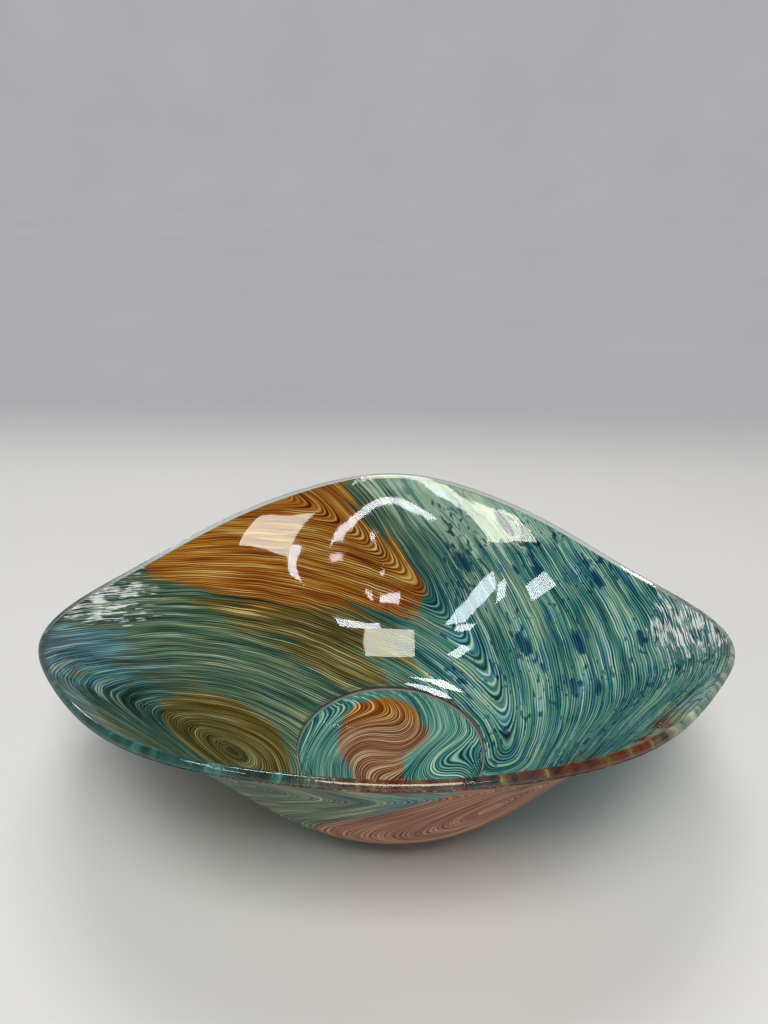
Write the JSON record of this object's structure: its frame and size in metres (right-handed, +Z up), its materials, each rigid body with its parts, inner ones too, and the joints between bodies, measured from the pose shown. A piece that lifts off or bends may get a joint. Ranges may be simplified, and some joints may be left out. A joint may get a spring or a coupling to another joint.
{
  "type": "art glass bowl",
  "caption": "Wide oval glass bowl with a wavy rim on a low ring foot, its outside coated with combed teal, amber and rose enamel.",
  "frame": {"origin": "on the table, under the middle of the bowl's outline", "axes": "+X along the bowl's length, +Z up, -Y towards its front"},
  "size_m": [0.3643, 0.2858, 0.1179],
  "materials": {
    "glass_body": "clear, fire-polished",
    "teal_enamel": "combed translucent enamel, satin on the outside",
    "amber_enamel": "combed translucent enamel, satin on the outside",
    "olive_enamel": "combed translucent enamel, satin on the outside",
    "rose_enamel": "combed translucent enamel, satin on the outside",
    "blue_flecks": "translucent enamel",
    "edging_enamel": "dark enamel line",
    "base_teal_enamel": "combed enamel, matt underneath",
    "base_copper_enamel": "combed enamel, matt underneath"
  },
  "bodies": {
    "root": {"glass_body": "glass_body", "teal_enamel": "teal_enamel", "amber_enamel": "amber_enamel", "olive_enamel": "olive_enamel", "rose_enamel": "rose_enamel", "blue_flecks": "blue_flecks", "edging_enamel": "edging_enamel", "base_teal_enamel": "base_teal_enamel", "base_copper_enamel": "base_copper_enamel"}
  },
  "joints": []
}
